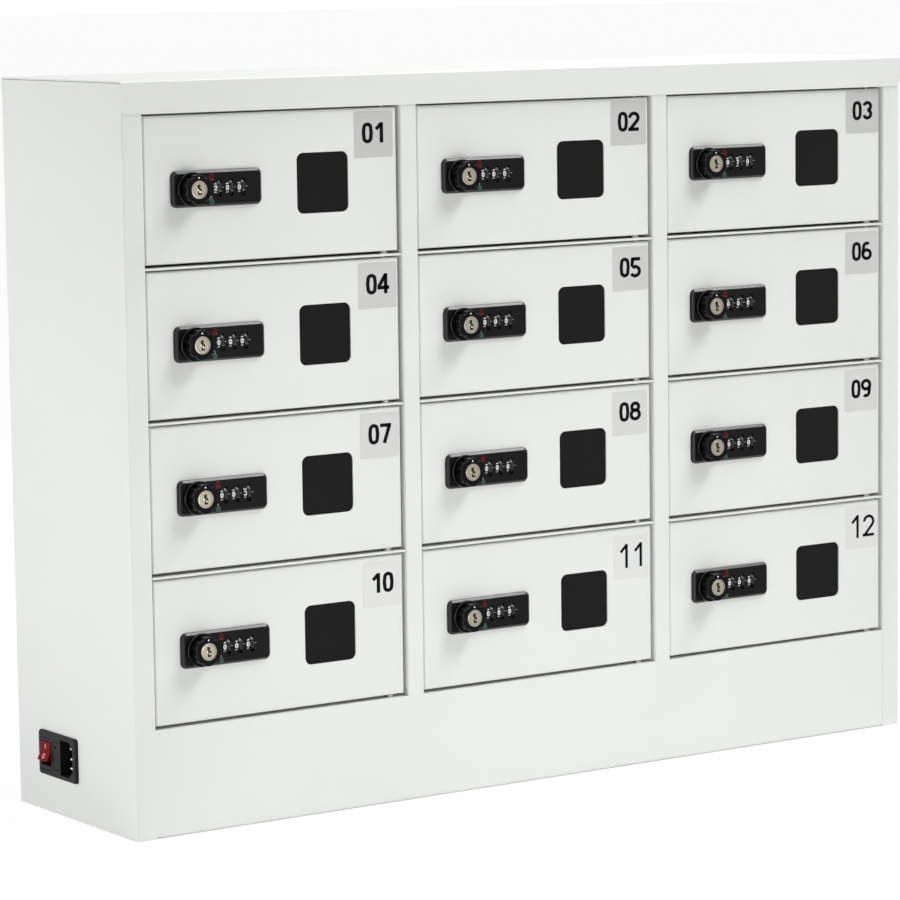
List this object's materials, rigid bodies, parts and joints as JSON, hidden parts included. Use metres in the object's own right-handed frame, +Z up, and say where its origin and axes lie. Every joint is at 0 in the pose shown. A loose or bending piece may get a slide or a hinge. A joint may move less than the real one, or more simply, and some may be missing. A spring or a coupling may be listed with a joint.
{
  "type": "cell phone locker box",
  "caption": "Low white steel cabinet of small numbered compartments, each with a pin-hinged door, dark window and combination cam lock, with a mains inlet for charging.",
  "frame": {"origin": "middle of the cabinet's base, on the floor", "axes": "+X to the right seen from the front, along the cabinet's length; +Y to the back; +Z up"},
  "size_m": [0.6905, 0.182, 0.52],
  "materials": {
    "cabinet_paint": "semi-gloss white powder coat",
    "door_paint": "semi-gloss white powder coat",
    "lock_plastic": "gloss black",
    "knob_plastic": "gloss black",
    "dial_plastic": "satin black with white figures",
    "pin_steel": "bright zinc",
    "port_plastic": "satin black",
    "supply_case": "mill",
    "inlet_plastic": "satin dark grey",
    "fuse_plastic": "satin dark grey",
    "rocker_plastic": "translucent red"
  },
  "bodies": {
    "cabinet": {"left_side_panel": "cabinet_paint", "right_side_panel": "cabinet_paint", "top_cover": "cabinet_paint", "front_frame": "cabinet_paint", "back_panel": "cabinet_paint", "compartment_grid": "cabinet_paint", "hinge_pins": "pin_steel", "charging_ports": "port_plastic", "power_supply": "supply_case", "power_inlet": "inlet_plastic"},
    "door_01": {"door_01": "door_paint", "lock_case_01": "lock_plastic"},
    "door_02": {"door_02": "door_paint", "lock_case_02": "lock_plastic"},
    "door_03": {"door_03": "door_paint", "lock_case_03": "lock_plastic"},
    "door_04": {"door_04": "door_paint", "lock_case_04": "lock_plastic"},
    "door_05": {"door_05": "door_paint", "lock_case_05": "lock_plastic"},
    "door_06": {"door_06": "door_paint", "lock_case_06": "lock_plastic"},
    "door_07": {"door_07": "door_paint", "lock_case_07": "lock_plastic"},
    "door_08": {"door_08": "door_paint", "lock_case_08": "lock_plastic"},
    "door_09": {"door_09": "door_paint", "lock_case_09": "lock_plastic"},
    "door_10": {"door_10": "door_paint", "lock_case_10": "lock_plastic"},
    "door_11": {"door_11": "door_paint", "lock_case_11": "lock_plastic"},
    "door_12": {"door_12": "door_paint", "lock_case_12": "lock_plastic"},
    "knob_01": {"knob_01": "knob_plastic"},
    "knob_02": {"knob_02": "knob_plastic"},
    "knob_03": {"knob_03": "knob_plastic"},
    "knob_04": {"knob_04": "knob_plastic"},
    "knob_05": {"knob_05": "knob_plastic"},
    "knob_06": {"knob_06": "knob_plastic"},
    "knob_07": {"knob_07": "knob_plastic"},
    "knob_08": {"knob_08": "knob_plastic"},
    "knob_09": {"knob_09": "knob_plastic"},
    "knob_10": {"knob_10": "knob_plastic"},
    "knob_11": {"knob_11": "knob_plastic"},
    "knob_12": {"knob_12": "knob_plastic"},
    "rocker": {"rocker_switch": "rocker_plastic"},
    "fuse_drawer": {"fuse_drawer": "fuse_plastic"},
    "dials_01": {"dials_01": "dial_plastic"},
    "dials_02": {"dials_02": "dial_plastic"},
    "dials_03": {"dials_03": "dial_plastic"},
    "dials_04": {"dials_04": "dial_plastic"},
    "dials_05": {"dials_05": "dial_plastic"},
    "dials_06": {"dials_06": "dial_plastic"},
    "dials_07": {"dials_07": "dial_plastic"},
    "dials_08": {"dials_08": "dial_plastic"},
    "dials_09": {"dials_09": "dial_plastic"},
    "dials_10": {"dials_10": "dial_plastic"},
    "dials_11": {"dials_11": "dial_plastic"},
    "dials_12": {"dials_12": "dial_plastic"}
  },
  "joints": [
    {"name": "door_01_hinge", "type": "hinge", "parent": "cabinet", "child": "door_01", "pos_m": [-0.1295, -0.0775, 0.44562], "axis": [0, 0, 1], "range_deg": [0, 110]},
    {"name": "door_02_hinge", "type": "hinge", "parent": "cabinet", "child": "door_02", "pos_m": [0.0923, -0.0775, 0.44562], "axis": [0, 0, 1], "range_deg": [0, 110]},
    {"name": "door_03_hinge", "type": "hinge", "parent": "cabinet", "child": "door_03", "pos_m": [0.3141, -0.0775, 0.44562], "axis": [0, 0, 1], "range_deg": [0, 110]},
    {"name": "door_04_hinge", "type": "hinge", "parent": "cabinet", "child": "door_04", "pos_m": [-0.1295, -0.0775, 0.33987], "axis": [0, 0, 1], "range_deg": [0, 110]},
    {"name": "door_05_hinge", "type": "hinge", "parent": "cabinet", "child": "door_05", "pos_m": [0.0923, -0.0775, 0.33987], "axis": [0, 0, 1], "range_deg": [0, 110]},
    {"name": "door_06_hinge", "type": "hinge", "parent": "cabinet", "child": "door_06", "pos_m": [0.3141, -0.0775, 0.33987], "axis": [0, 0, 1], "range_deg": [0, 110]},
    {"name": "door_07_hinge", "type": "hinge", "parent": "cabinet", "child": "door_07", "pos_m": [-0.1295, -0.0775, 0.23412], "axis": [0, 0, 1], "range_deg": [0, 110]},
    {"name": "door_08_hinge", "type": "hinge", "parent": "cabinet", "child": "door_08", "pos_m": [0.0923, -0.0775, 0.23412], "axis": [0, 0, 1], "range_deg": [0, 110]},
    {"name": "door_09_hinge", "type": "hinge", "parent": "cabinet", "child": "door_09", "pos_m": [0.3141, -0.0775, 0.23412], "axis": [0, 0, 1], "range_deg": [0, 110]},
    {"name": "door_10_hinge", "type": "hinge", "parent": "cabinet", "child": "door_10", "pos_m": [-0.1295, -0.0775, 0.12837], "axis": [0, 0, 1], "range_deg": [0, 110]},
    {"name": "door_11_hinge", "type": "hinge", "parent": "cabinet", "child": "door_11", "pos_m": [0.0923, -0.0775, 0.12837], "axis": [0, 0, 1], "range_deg": [0, 110]},
    {"name": "door_12_hinge", "type": "hinge", "parent": "cabinet", "child": "door_12", "pos_m": [0.3141, -0.0775, 0.12837], "axis": [0, 0, 1], "range_deg": [0, 110]},
    {"name": "knob_01_turn", "type": "hinge", "parent": "door_01", "child": "knob_01", "pos_m": [-0.2891, -0.0855, 0.44562], "axis": [0, 1, 0], "range_deg": [0, 90]},
    {"name": "knob_02_turn", "type": "hinge", "parent": "door_02", "child": "knob_02", "pos_m": [-0.0673, -0.0855, 0.44562], "axis": [0, 1, 0], "range_deg": [0, 90]},
    {"name": "knob_03_turn", "type": "hinge", "parent": "door_03", "child": "knob_03", "pos_m": [0.1545, -0.0855, 0.44562], "axis": [0, 1, 0], "range_deg": [0, 90]},
    {"name": "knob_04_turn", "type": "hinge", "parent": "door_04", "child": "knob_04", "pos_m": [-0.2891, -0.0855, 0.33987], "axis": [0, 1, 0], "range_deg": [0, 90]},
    {"name": "knob_05_turn", "type": "hinge", "parent": "door_05", "child": "knob_05", "pos_m": [-0.0673, -0.0855, 0.33987], "axis": [0, 1, 0], "range_deg": [0, 90]},
    {"name": "knob_06_turn", "type": "hinge", "parent": "door_06", "child": "knob_06", "pos_m": [0.1545, -0.0855, 0.33987], "axis": [0, 1, 0], "range_deg": [0, 90]},
    {"name": "knob_07_turn", "type": "hinge", "parent": "door_07", "child": "knob_07", "pos_m": [-0.2891, -0.0855, 0.23412], "axis": [0, 1, 0], "range_deg": [0, 90]},
    {"name": "knob_08_turn", "type": "hinge", "parent": "door_08", "child": "knob_08", "pos_m": [-0.0673, -0.0855, 0.23412], "axis": [0, 1, 0], "range_deg": [0, 90]},
    {"name": "knob_09_turn", "type": "hinge", "parent": "door_09", "child": "knob_09", "pos_m": [0.1545, -0.0855, 0.23412], "axis": [0, 1, 0], "range_deg": [0, 90]},
    {"name": "knob_10_turn", "type": "hinge", "parent": "door_10", "child": "knob_10", "pos_m": [-0.2891, -0.0855, 0.12837], "axis": [0, 1, 0], "range_deg": [0, 90]},
    {"name": "knob_11_turn", "type": "hinge", "parent": "door_11", "child": "knob_11", "pos_m": [-0.0673, -0.0855, 0.12837], "axis": [0, 1, 0], "range_deg": [0, 90]},
    {"name": "knob_12_turn", "type": "hinge", "parent": "door_12", "child": "knob_12", "pos_m": [0.1545, -0.0855, 0.12837], "axis": [0, 1, 0], "range_deg": [0, 90]},
    {"name": "rocker_tip", "type": "hinge", "parent": "cabinet", "child": "rocker", "pos_m": [-0.3396, 0.0397, 0.0427], "axis": [0, -1, 0], "range_deg": [0, 28]},
    {"name": "fuse_drawer_slide", "type": "slide", "parent": "cabinet", "child": "fuse_drawer", "axis": [-1, 0, 0], "range_m": [0, 0.018]},
    {"name": "dials_01_turn", "type": "hinge", "parent": "door_01", "child": "dials_01", "pos_m": [-0.2595, -0.0793, 0.44562], "axis": [1, 0, 0], "continuous": true},
    {"name": "dials_02_turn", "type": "hinge", "parent": "door_02", "child": "dials_02", "pos_m": [-0.0377, -0.0793, 0.44562], "axis": [1, 0, 0], "continuous": true},
    {"name": "dials_03_turn", "type": "hinge", "parent": "door_03", "child": "dials_03", "pos_m": [0.1841, -0.0793, 0.44562], "axis": [1, 0, 0], "continuous": true},
    {"name": "dials_04_turn", "type": "hinge", "parent": "door_04", "child": "dials_04", "pos_m": [-0.2595, -0.0793, 0.33987], "axis": [1, 0, 0], "continuous": true},
    {"name": "dials_05_turn", "type": "hinge", "parent": "door_05", "child": "dials_05", "pos_m": [-0.0377, -0.0793, 0.33987], "axis": [1, 0, 0], "continuous": true},
    {"name": "dials_06_turn", "type": "hinge", "parent": "door_06", "child": "dials_06", "pos_m": [0.1841, -0.0793, 0.33987], "axis": [1, 0, 0], "continuous": true},
    {"name": "dials_07_turn", "type": "hinge", "parent": "door_07", "child": "dials_07", "pos_m": [-0.2595, -0.0793, 0.23412], "axis": [1, 0, 0], "continuous": true},
    {"name": "dials_08_turn", "type": "hinge", "parent": "door_08", "child": "dials_08", "pos_m": [-0.0377, -0.0793, 0.23412], "axis": [1, 0, 0], "continuous": true},
    {"name": "dials_09_turn", "type": "hinge", "parent": "door_09", "child": "dials_09", "pos_m": [0.1841, -0.0793, 0.23412], "axis": [1, 0, 0], "continuous": true},
    {"name": "dials_10_turn", "type": "hinge", "parent": "door_10", "child": "dials_10", "pos_m": [-0.2595, -0.0793, 0.12837], "axis": [1, 0, 0], "continuous": true},
    {"name": "dials_11_turn", "type": "hinge", "parent": "door_11", "child": "dials_11", "pos_m": [-0.0377, -0.0793, 0.12837], "axis": [1, 0, 0], "continuous": true},
    {"name": "dials_12_turn", "type": "hinge", "parent": "door_12", "child": "dials_12", "pos_m": [0.1841, -0.0793, 0.12837], "axis": [1, 0, 0], "continuous": true}
  ]
}
